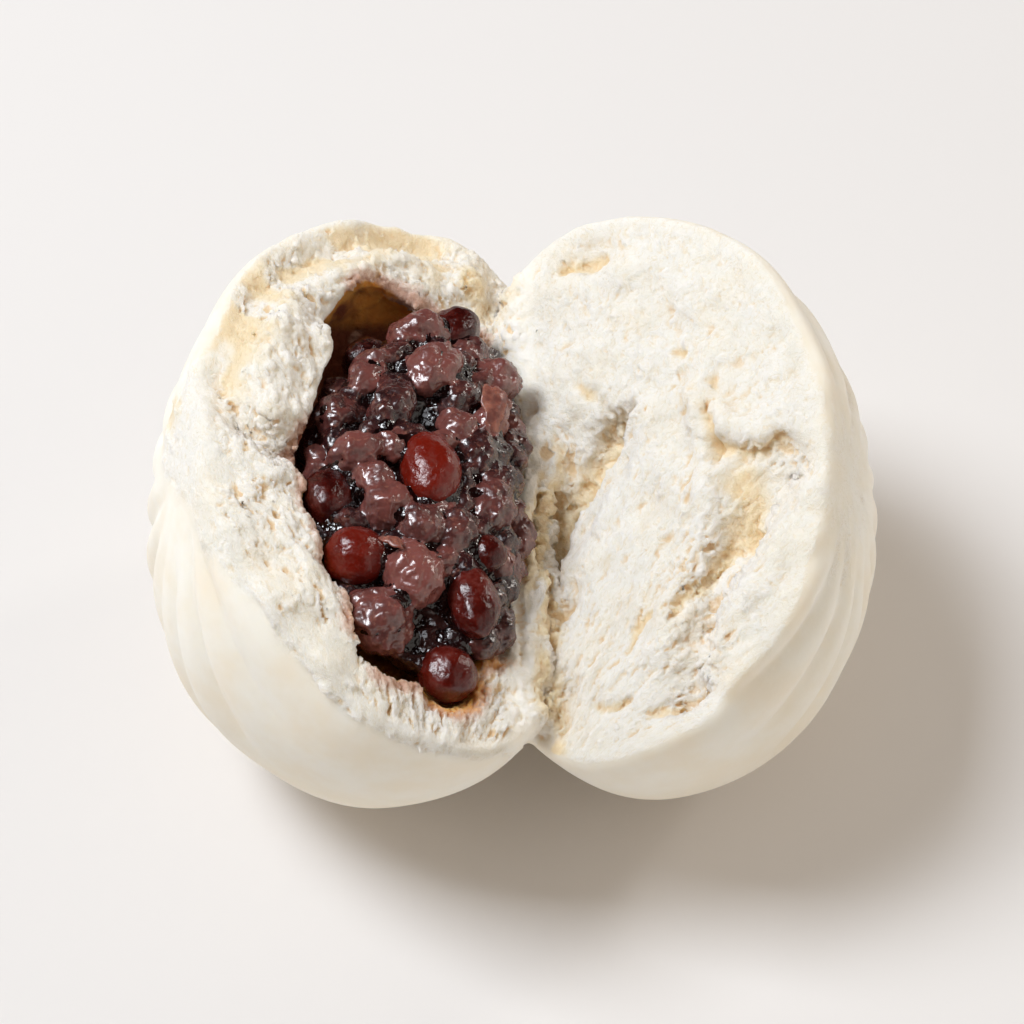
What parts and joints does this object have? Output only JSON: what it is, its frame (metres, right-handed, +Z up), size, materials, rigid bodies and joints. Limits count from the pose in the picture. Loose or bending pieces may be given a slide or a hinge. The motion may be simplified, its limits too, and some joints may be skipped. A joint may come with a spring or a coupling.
{
  "type": "bean paste bun",
  "caption": "White steamed bun torn open like a book, with a chunky red bean filling in the hollow of one half.",
  "frame": {"origin": "middle of the object's footprint, at the level of the surface it rests on", "axes": "+X from the half with the filling to the plain half, +Y along the crease, away from the side it is looked at from, +Z up"},
  "size_m": [0.0908, 0.08, 0.0547],
  "materials": {
    "steamed_dough": "soft matt steamed bread, smooth skin outside and fluffy torn crumb inside",
    "bean_filling": "wet glossy sweet bean paste with whole beans"
  },
  "bodies": {
    "root": {"steamed_dough": "steamed_dough", "bean_filling": "bean_filling"}
  },
  "joints": []
}
